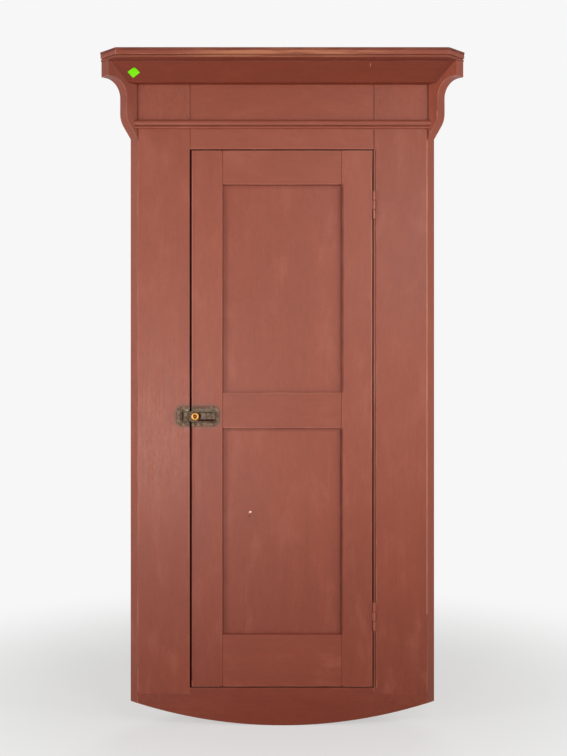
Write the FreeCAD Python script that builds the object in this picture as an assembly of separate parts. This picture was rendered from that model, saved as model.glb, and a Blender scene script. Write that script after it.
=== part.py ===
import FreeCAD, Part
import math
import os

os.makedirs("parts", exist_ok=True)

# Millimetres. +Z is up and the front faces -Y. The origin is on the upright line where the
# two room walls meet, level with the lowest point of the curved apron.
# Wall coordinates: u runs along a wall from the room corner, v runs inward from the wall.

# Case
face_width = 522.0
wall_board_thickness = 20.0
rear_board_width = 153.0
board_lap = 8.0
frame_thickness = 20.0
latch_side_stile_width = 94.5
hinge_side_stile_width = 97.1
apron_drop = 40.0
apron_side_height = 16.7
apron_rise = 11.5
opening_height = 969.1
top_rail_height = 147.5
frame_tenon_length = 30.0
frame_tenon_thickness = 7.0
frame_tenon_shoulder = 22.0
mortise_end_gap = 1.0

# Bead along the hinge side of the opening
opening_bead_radius = 2.0
opening_quirk_width = 1.2

# Shelves
shelf_thickness = 15.0
shelf_setback = 25.0
first_shelf_rise = 251.8
shelf_spacing = 247.0
shelf_count = 3
cleat_width = 16.0
cleat_height = 12.0
cleat_rear_margin = 42.0
cleat_front_margin = 14.0

# Holes for hanging the cupboard
hanging_hole_radius = 2.5
hanging_hole_reach = 92.0
hanging_hole_margin = 105.0

# Brackets that carry the cornice, drawn in the plane of each wall board
bracket_height = 127.1
bracket_reach = 64.3
bracket_nose_height = 26.6
cove_radius = 30.0
swell_reach = 23.5
swell_radius = 34.0
swell_turn_degrees = 38.0

# Mouldings
crown_height = 31.4
crown_lip_reach = 15.3
crown_reach = 42.5
waist_drop = 95.8
waist_height = 15.0
waist_reach = 6.7
waist_bead_height = 9.6
waist_quirk_height = 1.2
waist_quirk_depth = 2.2
waist_bead_round = 2.1
waist_bead_setback = 1.4
cornice_thickness = 17.2
cornice_reach = 64.6
return_overhang = 2.8
edge_moulding_depth = 9.0
edge_lip_height = 3.0
edge_lip_radius = 1.4
edge_fascia_height = 8.4
edge_fascia_setback = 0.8
edge_quirk_height = 0.9
edge_quirk_depth = 2.2
edge_bead_setback = 1.6

# Door
door_thickness = 19.4
door_gap_latch_side = 3.2
door_gap_hinge_side = 1.8
door_gap_top = 2.2
door_gap_bottom = 1.8
door_stile_width = 55.6
door_bottom_rail_height = 93.8
door_mid_rail_height = 64.4
door_top_rail_height = 61.1
mid_rail_rise = 465.0
tenon_length = 38.0
tenon_shoulder = 13.0
groove_depth = 9.0
panel_gap = 1.0
panel_recess = 7.0
panel_tongue = 6.0
panel_thickness = 11.0
panel_bevel = 28.0
stop_width = 22.0
stop_thickness = 12.0
stop_overlap = 8.0

# Butt hinges
hinge_height = 50.8
hinge_width = 16.0
upper_hinge_drop = 98.4
lower_hinge_rise = 126.6
knuckle_radius = 3.0
knuckle_inset = 1.6
knuckle_proud = 1.5
knuckle_count = 3
knuckle_gap = 0.3
leaf_thickness = 1.6
leaf_seat = 0.4
door_leaf_sink = 0.5
hinge_pin_radius = 1.2
hinge_pin_clearance = 0.05

# Countersunk hinge screws
screw_length = 12.0
screw_radius = 1.4
screw_head_radius = 2.5
screw_head_depth = 1.6
screw_clearance = 0.05
hinge_screw_spacing = 30.0
hinge_screw_count = 2

# Slide latch
latch_rise = 486.6
latch_plate_length = 49.0
latch_plate_height = 37.0
latch_plate_thickness = 2.0
latch_corner_radius = 12.0
latch_edge_margin = 0.3
guide_height = 21.2
guide_lip_gap = 14.4
guide_lip_thickness = 1.3
guide_chamfer = 1.0
guide_end_thickness = 2.5
bolt_length = 41.0
bolt_height = 17.2
bolt_thickness = 3.0
bolt_rib_height = 13.8
bolt_rib_thickness = 1.2
bolt_nose = 3.5
bolt_side_clearance = 0.2
bolt_face_clearance = 0.15
bolt_retract = 13.0
bolt_end_clearance = 0.5
bolt_tip_overhang = 15.2
keeper_length = 24.6
keeper_bridge_gap = 1.0
keeper_bridge_length = 9.5
keeper_bridge_thickness = 1.6
keeper_bridge_clearance = 0.4

# Knob
knob_setback = 22.5
knob_radius = 7.2
knob_stem_radius = 2.9
knob_stem_length = 4.6
knob_flare = 1.6
knob_head_thickness = 4.2
knob_rim_chamfer = 1.3
knob_dish_radius = 2.8
knob_dish_depth = 1.2
rivet_radius = 1.6
rivet_clearance = 0.05
rivet_head_height = 0.9

cut_overrun = 5.0

# Places that follow from the sizes above
root_two = math.sqrt(2)
face_y = -(face_width / 2 + wall_board_thickness * root_two)
frame_back_y = face_y + frame_thickness
wall_reach = face_width / root_two + wall_board_thickness
case_bottom = apron_drop
stile_bottom = case_bottom + apron_side_height
opening_bottom = stile_bottom + apron_rise
opening_top = opening_bottom + opening_height
case_top = opening_top + top_rail_height
opening_left = -face_width / 2 + latch_side_stile_width
opening_right = face_width / 2 - hinge_side_stile_width

cornice_front_y = face_y - cornice_reach
cornice_side_u = wall_reach + bracket_reach + return_overhang

door_left = opening_left + door_gap_latch_side
door_right = opening_right - door_gap_hinge_side
door_bottom = opening_bottom + door_gap_bottom
door_top = opening_top - door_gap_top
door_back_y = face_y + door_thickness
inner_left = door_left + door_stile_width
inner_right = door_right - door_stile_width
mid_rail_bottom = door_bottom + mid_rail_rise
groove_front_y = face_y + panel_recess
groove_back_y = groove_front_y + panel_tongue
panel_spans = [(door_bottom + door_bottom_rail_height, mid_rail_bottom),
               (mid_rail_bottom + door_mid_rail_height, door_top - door_top_rail_height)]
rail_spans = {"door_bottom_rail": (door_bottom, door_bottom + door_bottom_rail_height),
              "door_mid_rail": (mid_rail_bottom, mid_rail_bottom + door_mid_rail_height),
              "door_top_rail": (door_top - door_top_rail_height, door_top)}

hinge_x = opening_right + knuckle_inset
hinge_y = face_y - knuckle_proud
hinge_centres = [door_bottom + lower_hinge_rise, door_top - upper_hinge_drop]
frame_leaf_x = hinge_x + knuckle_radius + leaf_seat
frame_leaf_face_x = frame_leaf_x - leaf_thickness
door_leaf_x = door_right - door_leaf_sink
door_leaf_face_x = door_leaf_x + leaf_thickness
leaf_back_y = hinge_y + hinge_width
comb_y = hinge_y + knuckle_radius + knuckle_gap
leaf_screw_y = (comb_y + leaf_back_y) / 2

latch_z = door_bottom + latch_rise
plate_y = face_y - latch_plate_thickness
plate_left = door_left + latch_edge_margin
plate_right = plate_left + latch_plate_length
channel_depth = bolt_thickness + 2 * bolt_face_clearance
bolt_back_y = plate_y - bolt_face_clearance
bolt_front_y = bolt_back_y - bolt_thickness
rib_front_y = bolt_front_y - bolt_rib_thickness
bolt_tip_x = door_left - bolt_tip_overhang
bolt_end_x = bolt_tip_x + bolt_length
channel_end_x = bolt_end_x + bolt_retract + bolt_end_clearance
knob_x = bolt_tip_x + knob_setback
keeper_right = opening_left - latch_edge_margin
keeper_left = keeper_right - keeper_length
bridge_right = bolt_tip_x - keeper_bridge_gap
bridge_left = bridge_right - keeper_bridge_length

shelf_tops = [opening_bottom + first_shelf_rise + i * shelf_spacing for i in range(shelf_count)]
board_tops = [opening_bottom] + shelf_tops
shelf_front_y = frame_back_y + shelf_setback


def vec(x, y, z):
    return FreeCAD.Vector(x, y, z)


def block(x0, x1, y0, y1, z0, z1):
    return Part.makeBox(x1 - x0, y1 - y0, z1 - z0, vec(x0, y0, z0))


def rod(radius, start, direction, length):
    return Part.makeCylinder(radius, length, start, direction)


def plan_prism(points, bottom, top):
    outline = Part.makePolygon([vec(x, y, bottom) for x, y in points + points[:1]])
    return Part.Face(outline).extrude(vec(0, 0, top - bottom))


def path_face(corners):
    # Corners are joined by straight edges, and a pair (middle, end) gives an arc.
    edges = []
    here = corners[0]
    for step in corners[1:]:
        if isinstance(step, tuple):
            edges.append(Part.Arc(here, step[0], step[1]).toShape())
            here = step[1]
        else:
            edges.append(Part.LineSegment(here, step).toShape())
            here = step
    edges.append(Part.LineSegment(here, corners[0]).toShape())
    return Part.Face(Part.Wire(edges))


def wall_point(side, u, v, z):
    return vec(side * (u - v) / root_two, -(u + v) / root_two, z)


def wall_plan(side, u, v):
    place = wall_point(side, u, v, 0)
    return (place.x, place.y)


def wall_block(side, u0, u1, v0, v1, z0, z1):
    corners = [wall_plan(side, u, v) for u, v in ((u0, v0), (u1, v0), (u1, v1), (u0, v1))]
    return plan_prism(corners, z0, z1)


def room_between_boards(front_y, bottom, top):
    apex_y = -wall_board_thickness * root_two
    half = apex_y - front_y
    return plan_prism([(0, apex_y), (-half, front_y), (half, front_y)], bottom, top)


def between_boards(shape):
    far_front = cornice_front_y - cut_overrun
    return shape.common(room_between_boards(far_front, -cut_overrun, case_top + cut_overrun))


def screw_form(spare):
    # Countersunk wood screw along +Z with its head face at the origin, larger by the spare.
    head = Part.makeCone(screw_head_radius + spare, screw_radius + spare, screw_head_depth)
    return head.fuse(rod(screw_radius + spare, vec(0, 0, 0), vec(0, 0, 1), screw_length + spare))


def pointed(shape, place, direction):
    shape.Placement = FreeCAD.Placement(place, FreeCAD.Rotation(vec(0, 0, 1), direction))
    return shape


def screw(place, direction):
    return pointed(screw_form(0), place, direction)


def screw_hole(place, direction):
    mouth = rod(screw_head_radius + screw_clearance, vec(0, 0, -cut_overrun), vec(0, 0, 1),
                cut_overrun)
    return pointed(screw_form(screw_clearance).fuse(mouth), place, direction)


# Case boards
def bracket_outline(side):
    # From the foot: a straight slant, a swell that turns upright, a plumb stretch and a cove.
    foot_z = case_top - bracket_height
    lip_z = case_top - bracket_nose_height
    cove_z = lip_z - cove_radius
    nose_u = wall_reach + bracket_reach
    plumb_u = wall_reach + swell_reach
    turn = math.radians(swell_turn_degrees)
    slant_reach = swell_reach - swell_radius * (1 - math.cos(turn))
    slant_z = foot_z + slant_reach / math.tan(turn)
    swell_z = slant_z + swell_radius * math.sin(turn)
    swell_middle = (plumb_u - swell_radius * (1 - math.cos(turn / 2)),
                    swell_z - swell_radius * math.sin(turn / 2))
    cove_middle = (plumb_u + cove_radius * (1 - 1 / root_two), cove_z + cove_radius / root_two)

    def at(u, z):
        return wall_point(side, u, 0, z)

    return [at(wall_reach, foot_z),
            at(wall_reach + slant_reach, slant_z),
            (at(*swell_middle), at(plumb_u, swell_z)),
            at(plumb_u, cove_z),
            (at(*cove_middle), at(plumb_u + cove_radius, lip_z)),
            at(nose_u, lip_z),
            at(nose_u, case_top)]


def wall_front_board(side):
    rear_u = rear_board_width - board_lap
    corners = bracket_outline(side) + [wall_point(side, rear_u, 0, case_top),
                                       wall_point(side, rear_u, 0, case_bottom),
                                       wall_point(side, wall_reach, 0, case_bottom)]
    inward = wall_point(side, 0, wall_board_thickness, 0)
    board = path_face(corners).extrude(inward)
    lap_cut = wall_block(side, rear_u - cut_overrun, rear_board_width, wall_board_thickness / 2,
                         wall_board_thickness + cut_overrun, 0, case_top + cut_overrun)
    return board.cut(lap_cut)


def hanging_hole_centres(side):
    heights = (case_bottom + hanging_hole_margin, case_top - hanging_hole_margin)
    return [wall_point(side, hanging_hole_reach, 0, z) for z in heights]


def wall_rear_board(side):
    start_u = 0 if side > 0 else wall_board_thickness
    board = wall_block(side, start_u, rear_board_width, 0, wall_board_thickness,
                       case_bottom, case_top)
    lap_cut = wall_block(side, rear_board_width - board_lap, rear_board_width + cut_overrun,
                         -cut_overrun, wall_board_thickness / 2, 0, case_top + cut_overrun)
    board = board.cut(lap_cut)
    inward = wall_point(side, 0, 1, 0)
    for centre in hanging_hole_centres(side):
        start = centre - inward * cut_overrun
        board = board.cut(rod(hanging_hole_radius, start, inward,
                              wall_board_thickness + 2 * cut_overrun))
    return board


def rail_tenon(x0, x1, z0, z1):
    middle_y = face_y + frame_thickness / 2
    return block(x0, x1, middle_y - frame_tenon_thickness / 2, middle_y + frame_tenon_thickness / 2,
                 z0 + frame_tenon_shoulder, z1 - frame_tenon_shoulder)


def frame_stile(x0, x1):
    return between_boards(block(x0, x1, face_y, frame_back_y, stile_bottom, case_top))


def latch_side_stile():
    stile = frame_stile(-face_width / 2, opening_left)
    mortise = rail_tenon(opening_left - frame_tenon_length - mortise_end_gap,
                         opening_left + cut_overrun, opening_top, case_top)
    return stile.cut(mortise)


def hinge_side_stile():
    stile = frame_stile(opening_right, face_width / 2)
    mortise = rail_tenon(opening_right - cut_overrun,
                         opening_right + frame_tenon_length + mortise_end_gap,
                         opening_top, case_top)
    stile = stile.cut(mortise).cut(opening_bead_cutter())
    for recess in leaf_recesses(opening_right - cut_overrun, frame_leaf_x):
        stile = stile.cut(recess)
    for place in hinge_screw_places(frame_leaf_face_x):
        stile = stile.cut(screw_hole(place, vec(1, 0, 0)))
    return stile


def leaf_recesses(x0, x1):
    reach = hinge_height / 2 + knuckle_gap
    return [block(x0, x1, face_y - cut_overrun, leaf_back_y, centre - reach, centre + reach)
            for centre in hinge_centres]


def opening_bead_cutter():
    quirk_x = opening_right + 2 * opening_bead_radius + opening_quirk_width
    bead_y = face_y + opening_bead_radius
    waste = block(opening_right - cut_overrun, quirk_x, face_y - cut_overrun, bead_y,
                  opening_bottom, opening_top)
    bead = rod(opening_bead_radius, vec(opening_right + opening_bead_radius, bead_y, opening_bottom),
               vec(0, 0, 1), opening_height)
    return waste.cut(bead)


def top_rail():
    rail = block(opening_left, opening_right, face_y, frame_back_y, opening_top, case_top)
    tenons = rail_tenon(opening_left - frame_tenon_length, opening_right + frame_tenon_length,
                        opening_top, case_top)
    return rail.fuse(tenons).removeSplitter()


def apron():
    half = face_width / 2
    outline = path_face([vec(-half, face_y, case_bottom),
                         (vec(0, face_y, 0), vec(half, face_y, case_bottom)),
                         vec(half, face_y, stile_bottom),
                         vec(opening_right, face_y, stile_bottom),
                         vec(opening_right, face_y, opening_bottom),
                         vec(opening_left, face_y, opening_bottom),
                         vec(opening_left, face_y, stile_bottom),
                         vec(-half, face_y, stile_bottom)])
    return between_boards(outline.extrude(vec(0, frame_thickness, 0)))


# Cornice and mouldings
def cornice_plan(inset):
    # Corners of the cornice, moved in by the inset: right wall, right front, left front, left wall.
    front_y = cornice_front_y + inset
    side_u = cornice_side_u - inset
    corner_x = side_u * root_two + front_y
    wall_x, wall_y = wall_plan(1, side_u, 0)
    return [(wall_x, wall_y), (corner_x, front_y), (-corner_x, front_y), (-wall_x, wall_y)]


def top_board():
    return plan_prism([(0, 0)] + cornice_plan(edge_moulding_depth), case_top,
                      case_top + cornice_thickness)


def edge_profile(at):
    # The function at(inset, z) places a point of the section, inset from the outer face.
    top = case_top + cornice_thickness
    fascia_top = top - edge_lip_height
    fascia_bottom = fascia_top - edge_fascia_height
    bead_top = fascia_bottom - edge_quirk_height
    bead_radius = (bead_top - case_top) / 2
    quirk_inset = edge_fascia_setback + edge_quirk_depth
    corner_share = 1 - 1 / root_two
    return path_face([at(edge_moulding_depth, top),
                      at(edge_lip_radius, top),
                      (at(edge_lip_radius * corner_share, top - edge_lip_radius * corner_share),
                       at(0, top - edge_lip_radius)),
                      at(0, fascia_top),
                      at(edge_fascia_setback, fascia_top),
                      at(edge_fascia_setback, fascia_bottom),
                      at(quirk_inset, fascia_bottom),
                      at(quirk_inset + edge_quirk_height, bead_top),
                      at(edge_bead_setback + bead_radius, bead_top),
                      (at(edge_bead_setback, bead_top - bead_radius),
                       at(edge_bead_setback + bead_radius, case_top)),
                      at(edge_moulding_depth, case_top)])


def edge_moulding_front():
    outer = cornice_plan(0)
    inner = cornice_plan(edge_moulding_depth)
    half = outer[1][0]
    face = edge_profile(lambda inset, z: vec(-half, cornice_front_y + inset, z))
    strip = face.extrude(vec(2 * half, 0, 0))
    mitred = plan_prism([outer[1], outer[2], inner[2], inner[1]],
                        case_top - cut_overrun, case_top + cornice_thickness + cut_overrun)
    return strip.common(mitred)


def edge_moulding_return(side):
    outer = cornice_plan(0)
    inner = cornice_plan(edge_moulding_depth)
    reach = math.dist(outer[0], outer[1])
    face = edge_profile(lambda inset, z: wall_point(side, cornice_side_u - inset, 0, z))
    strip = face.extrude(wall_point(side, 0, reach, 0))
    corners = [(side * x, y) for x, y in (outer[0], outer[1], inner[1], inner[0])]
    mitred = plan_prism(corners, case_top - cut_overrun, case_top + cornice_thickness + cut_overrun)
    return strip.common(mitred)


def front_moulding(section):
    # A section of (forward, z) corners runs across the face and is cut to fit between the brackets.
    half = face_width / 2 + bracket_reach
    corners = [vec(-half, face_y - forward, z) for forward, z in section]
    return between_boards(path_face(corners).extrude(vec(2 * half, 0, 0)))


def crown_moulding():
    lip_z = case_top - crown_height
    return front_moulding([(0, lip_z), (crown_lip_reach, lip_z), (crown_reach, case_top),
                           (0, case_top)])


def waist_moulding():
    top = case_top - waist_drop
    bottom = top - waist_height
    bead_bottom = top - waist_bead_height
    lower_top = bead_bottom - waist_quirk_height
    back = waist_reach - waist_bead_round
    lower_reach = waist_reach - waist_bead_setback
    half = face_width / 2 + bracket_reach

    def at(forward, z):
        return vec(-half, face_y - forward, z)

    section = path_face([at(0, top),
                         at(back, top),
                         (at(waist_reach, (top + bead_bottom) / 2), at(back, bead_bottom)),
                         at(back - waist_quirk_depth, bead_bottom),
                         at(back - waist_quirk_depth, lower_top),
                         at(lower_reach - waist_bead_round, lower_top),
                         (at(lower_reach, (lower_top + bottom) / 2),
                          at(lower_reach - waist_bead_round, bottom)),
                         at(0, bottom)])
    return between_boards(section.extrude(vec(2 * half, 0, 0)))


# Inside of the case
def bottom_board():
    return room_between_boards(frame_back_y, opening_bottom - shelf_thickness, opening_bottom)


def shelf(top):
    return room_between_boards(shelf_front_y, top - shelf_thickness, top)


def shelf_cleats(side):
    start_u = wall_board_thickness + cleat_rear_margin
    inner_v = wall_board_thickness + cleat_width
    end_u = -shelf_front_y * root_two - inner_v - cleat_front_margin
    cleats = []
    for top in board_tops:
        seat = top - shelf_thickness
        cleats.append(wall_block(side, start_u, end_u, wall_board_thickness, inner_v,
                                 seat - cleat_height, seat))
    return Part.makeCompound(cleats)


def door_stop():
    return block(opening_left + stop_overlap - stop_width, opening_left + stop_overlap,
                 frame_back_y, frame_back_y + stop_thickness, opening_bottom, opening_top)


# Door
def door_tenon(x0, x1, span):
    return block(x0, x1, groove_front_y, groove_back_y, span[0] + tenon_shoulder,
                 span[1] - tenon_shoulder)


def panel_space(span, reach):
    return block(inner_left - reach, inner_right + reach, groove_front_y, groove_back_y,
                 span[0] - reach, span[1] + reach)


def door_stile(x0, x1):
    stile = block(x0, x1, face_y, door_back_y, door_bottom, door_top)
    for span in panel_spans:
        stile = stile.cut(panel_space(span, groove_depth))
    for span in rail_spans.values():
        stile = stile.cut(door_tenon(inner_left - tenon_length - mortise_end_gap,
                                     inner_right + tenon_length + mortise_end_gap, span))
    return stile


def door_hinge_stile():
    stile = door_stile(inner_right, door_right)
    for recess in leaf_recesses(door_leaf_x, door_right + cut_overrun):
        stile = stile.cut(recess)
    for place in hinge_screw_places(door_leaf_face_x):
        stile = stile.cut(screw_hole(place, vec(-1, 0, 0)))
    return stile


def door_rail(span):
    rail = block(inner_left, inner_right, face_y, door_back_y, span[0], span[1])
    for panel_span in panel_spans:
        rail = rail.cut(panel_space(panel_span, groove_depth))
    tenons = door_tenon(inner_left - tenon_length, inner_right + tenon_length, span)
    return rail.fuse(tenons).removeSplitter()


def door_panel(span):
    # Flat in front, with a tongue all round and a bevelled field behind.
    tongue = panel_space(span, groove_depth - panel_gap)
    left, right = inner_left + panel_gap, inner_right - panel_gap
    low, high = span[0] + panel_gap, span[1] - panel_gap
    field = Part.makeWedge(left, groove_back_y, low, low + panel_bevel, left + panel_bevel,
                           right, groove_front_y + panel_thickness, high, high - panel_bevel,
                           right - panel_bevel)
    return tongue.fuse(field)


# Hinges
def hinge_screw_places(x):
    middle = (hinge_screw_count - 1) / 2
    offsets = [(i - middle) * hinge_screw_spacing for i in range(hinge_screw_count)]
    return [vec(x, leaf_screw_y, centre + offset) for centre in hinge_centres for offset in offsets]


def hinge_leaf(centre, outer_x, inner_x, first_knuckle, screw_way):
    low = centre - hinge_height / 2
    leaf = block(min(outer_x, inner_x), max(outer_x, inner_x), comb_y, leaf_back_y,
                 low, low + hinge_height)
    pitch = (hinge_height + knuckle_gap) / knuckle_count
    for i in range(first_knuckle, knuckle_count, 2):
        start_z = low + i * pitch
        end_z = start_z + pitch - knuckle_gap
        leaf = leaf.fuse(rod(knuckle_radius, vec(hinge_x, hinge_y, start_z), vec(0, 0, 1),
                             end_z - start_z))
        leaf = leaf.fuse(block(min(outer_x, inner_x), max(outer_x, inner_x), hinge_y, comb_y,
                               start_z, end_z))
    leaf = leaf.removeSplitter()
    leaf = leaf.cut(rod(hinge_pin_radius + hinge_pin_clearance,
                        vec(hinge_x, hinge_y, low - cut_overrun), vec(0, 0, 1),
                        hinge_height + 2 * cut_overrun))
    for place in hinge_screw_places(inner_x):
        if abs(place.z - centre) < hinge_height / 2:
            leaf = leaf.cut(screw_hole(place, screw_way))
    return leaf


def frame_hinge_leaves():
    return Part.makeCompound([hinge_leaf(centre, frame_leaf_x, frame_leaf_face_x, 0, vec(1, 0, 0))
                              for centre in hinge_centres])


def door_hinge_leaves():
    return Part.makeCompound([hinge_leaf(centre, door_leaf_x, door_leaf_face_x, 1, vec(-1, 0, 0))
                              for centre in hinge_centres])


def hinge_pins():
    return Part.makeCompound([rod(hinge_pin_radius, vec(hinge_x, hinge_y, centre - hinge_height / 2),
                                  vec(0, 0, 1), hinge_height) for centre in hinge_centres])


# Slide latch
def latch_backplate(square_x, round_x):
    # A plate with square corners at one end and rounded corners at the other.
    way = 1 if round_x > square_x else -1
    half = latch_plate_height / 2
    radius = latch_corner_radius
    arc_x = round_x - way * radius
    slant = radius / root_two

    def at(x, rise):
        return vec(x, plate_y, latch_z + rise)

    outline = path_face([at(square_x, -half),
                         at(arc_x, -half),
                         (at(arc_x + way * slant, -half + radius - slant),
                          at(round_x, -half + radius)),
                         at(round_x, half - radius),
                         (at(arc_x + way * slant, half - radius + slant), at(arc_x, half)),
                         at(square_x, half)])
    return outline.extrude(vec(0, latch_plate_thickness, 0))


def latch_plate():
    front_y = plate_y - channel_depth - guide_lip_thickness
    end_x = channel_end_x + guide_end_thickness
    half = guide_height / 2
    section = path_face([vec(plate_left, plate_y, latch_z - half),
                         vec(plate_left, front_y + guide_chamfer, latch_z - half),
                         vec(plate_left, front_y, latch_z - half + guide_chamfer),
                         vec(plate_left, front_y, latch_z + half - guide_chamfer),
                         vec(plate_left, front_y + guide_chamfer, latch_z + half),
                         vec(plate_left, plate_y, latch_z + half)])
    guides = section.extrude(vec(end_x - plate_left, 0, 0))
    channel_half = bolt_height / 2 + bolt_side_clearance
    lip_half = guide_lip_gap / 2
    guides = guides.cut(block(plate_left - cut_overrun, channel_end_x, plate_y - channel_depth,
                              plate_y, latch_z - channel_half, latch_z + channel_half))
    guides = guides.cut(block(plate_left - cut_overrun, channel_end_x, front_y - cut_overrun,
                              plate_y, latch_z - lip_half, latch_z + lip_half))
    return latch_backplate(plate_left, plate_right).fuse(guides).removeSplitter()


def latch_keeper():
    inner_y = rib_front_y - keeper_bridge_clearance
    channel_half = bolt_height / 2 + keeper_bridge_clearance
    outer_half = channel_half + keeper_bridge_thickness
    bridge = block(bridge_left, bridge_right, inner_y - keeper_bridge_thickness, plate_y,
                   latch_z - outer_half, latch_z + outer_half)
    bridge = bridge.cut(block(bridge_left - cut_overrun, bridge_right + cut_overrun, inner_y, plate_y,
                              latch_z - channel_half, latch_z + channel_half))
    return latch_backplate(keeper_right, keeper_left).fuse(bridge).removeSplitter()


def latch_bolt():
    half = bolt_height / 2
    rib_half = bolt_rib_height / 2
    base = block(bolt_tip_x, bolt_end_x, bolt_front_y, bolt_back_y, latch_z - half, latch_z + half)
    rib = path_face([vec(bolt_tip_x + bolt_nose, rib_front_y, latch_z - rib_half),
                     vec(bolt_end_x, rib_front_y, latch_z - rib_half),
                     vec(bolt_end_x, bolt_front_y, latch_z - rib_half),
                     vec(bolt_tip_x, bolt_front_y, latch_z - rib_half)])
    bolt = base.fuse(rib.extrude(vec(0, 0, bolt_rib_height))).removeSplitter()
    hole = rod(rivet_radius + rivet_clearance, vec(knob_x, rib_front_y - cut_overrun, latch_z),
               vec(0, 1, 0), bolt_thickness + bolt_rib_thickness + 2 * cut_overrun)
    return bolt.cut(hole)


def latch_knob():
    # Turned ring knob: stem, flare, chamfered rim and a dished middle round the rivet.
    bore = rivet_radius + rivet_clearance
    flare_top = knob_stem_length + knob_flare
    rim_top = flare_top + knob_head_thickness
    dish_floor = rim_top - knob_dish_depth

    def at(r, rise):
        return vec(knob_x + r, rib_front_y - rise, latch_z)

    profile = path_face([at(bore, 0),
                         at(knob_stem_radius, 0),
                         at(knob_stem_radius, knob_stem_length),
                         at(knob_radius, flare_top),
                         at(knob_radius, rim_top - knob_rim_chamfer),
                         at(knob_radius - knob_rim_chamfer, rim_top),
                         at(knob_dish_radius, rim_top),
                         at(knob_dish_radius, dish_floor),
                         at(bore, dish_floor)])
    return profile.revolve(vec(knob_x, rib_front_y, latch_z), vec(0, 1, 0), 360)


def knob_rivet():
    rise = knob_stem_length + knob_flare + knob_head_thickness - knob_dish_depth

    def at(r, height):
        return vec(knob_x + r, rib_front_y - height, latch_z)

    reach = bolt_thickness + bolt_rib_thickness
    profile = path_face([at(0, -reach),
                         at(rivet_radius, -reach),
                         at(rivet_radius, rise),
                         at(knob_dish_radius - rivet_clearance, rise),
                         at(knob_dish_radius - rivet_clearance, rise + rivet_head_height),
                         at(0, rise + rivet_head_height)])
    return profile.revolve(vec(knob_x, rib_front_y, latch_z), vec(0, 1, 0), 360)


def screws(places, direction):
    return Part.makeCompound([screw(place, direction) for place in places])


nodes = {
    "left_wall_front_board": wall_front_board(-1),
    "right_wall_front_board": wall_front_board(1),
    "left_wall_rear_board": wall_rear_board(-1),
    "right_wall_rear_board": wall_rear_board(1),
    "latch_side_stile": latch_side_stile(),
    "hinge_side_stile": hinge_side_stile(),
    "top_rail": top_rail(),
    "apron": apron(),
    "waist_moulding": waist_moulding(),
    "crown_moulding": crown_moulding(),
    "top_board": top_board(),
    "cornice_edge_front": edge_moulding_front(),
    "cornice_edge_left": edge_moulding_return(-1),
    "cornice_edge_right": edge_moulding_return(1),
    "bottom_board": bottom_board(),
    "shelf_lower": shelf(shelf_tops[0]),
    "shelf_middle": shelf(shelf_tops[1]),
    "shelf_upper": shelf(shelf_tops[2]),
    "left_shelf_cleats": shelf_cleats(-1),
    "right_shelf_cleats": shelf_cleats(1),
    "door_stop": door_stop(),
    "frame_hinge_leaves": frame_hinge_leaves(),
    "hinge_pins": hinge_pins(),
    "frame_hinge_screws": screws(hinge_screw_places(frame_leaf_face_x), vec(1, 0, 0)),
    "latch_keeper": latch_keeper(),
    "door_latch_stile": door_stile(door_left, inner_left),
    "door_hinge_stile": door_hinge_stile(),
    "door_upper_panel": door_panel(panel_spans[1]),
    "door_lower_panel": door_panel(panel_spans[0]),
    "door_hinge_leaves": door_hinge_leaves(),
    "door_hinge_screws": screws(hinge_screw_places(door_leaf_face_x), vec(-1, 0, 0)),
    "latch_plate": latch_plate(),
    "latch_bolt": latch_bolt(),
    "latch_knob": latch_knob(),
    "knob_rivet": knob_rivet(),
}
for name, span in rail_spans.items():
    nodes[name] = door_rail(span)

for name, shape in nodes.items():
    shape.exportStep("parts/" + name + ".step")
    print(name, "solids", len(shape.Solids), "valid", shape.isValid(), "volume", round(shape.Volume))
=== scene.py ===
import bmesh
import bpy
import functools
import math
from collections import namedtuple
from mathutils import Matrix, Vector


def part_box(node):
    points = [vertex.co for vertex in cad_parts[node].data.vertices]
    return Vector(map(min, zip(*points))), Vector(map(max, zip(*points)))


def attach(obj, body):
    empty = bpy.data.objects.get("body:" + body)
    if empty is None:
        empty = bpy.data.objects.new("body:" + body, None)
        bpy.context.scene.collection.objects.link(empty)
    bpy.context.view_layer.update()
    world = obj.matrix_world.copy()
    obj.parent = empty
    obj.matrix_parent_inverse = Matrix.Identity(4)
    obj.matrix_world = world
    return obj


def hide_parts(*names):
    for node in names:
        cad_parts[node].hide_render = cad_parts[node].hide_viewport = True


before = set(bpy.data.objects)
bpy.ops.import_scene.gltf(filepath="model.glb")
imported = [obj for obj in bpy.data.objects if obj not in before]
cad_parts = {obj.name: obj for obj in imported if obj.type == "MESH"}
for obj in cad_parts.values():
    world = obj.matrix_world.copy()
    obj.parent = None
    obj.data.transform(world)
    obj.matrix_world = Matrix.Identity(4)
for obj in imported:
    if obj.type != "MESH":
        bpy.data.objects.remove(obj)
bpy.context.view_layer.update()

# Metres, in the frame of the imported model
MM = 0.001

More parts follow.
